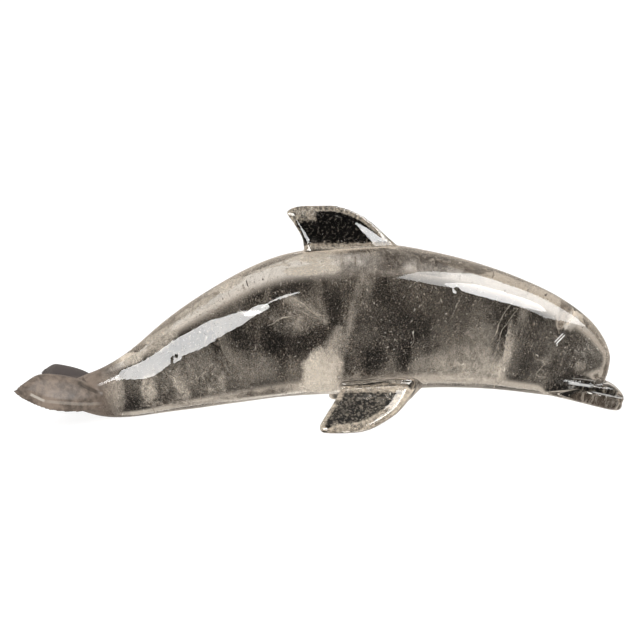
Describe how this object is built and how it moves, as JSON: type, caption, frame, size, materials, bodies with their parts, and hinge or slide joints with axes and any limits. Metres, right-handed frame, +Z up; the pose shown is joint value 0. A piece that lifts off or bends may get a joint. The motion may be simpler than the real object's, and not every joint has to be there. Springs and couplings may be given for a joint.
{
  "type": "carved crystal dolphin",
  "caption": "Solid clear crystal carving of an arched dolphin that stands on its pectoral fins and the underside of its tail.",
  "frame": {"origin": "on the surface that the dolphin stands on, below the middle of its box", "axes": "+X from the tail flukes to the beak, +Y to the dolphin's left, +Z up"},
  "size_m": [0.21, 0.059, 0.0742],
  "materials": {
    "rock_crystal": "polished clear quartz with a smoky cast, veils and flecks inside, satin on the tail flukes"
  },
  "bodies": {
    "root": {"crystal_dolphin": "rock_crystal"}
  },
  "joints": []
}
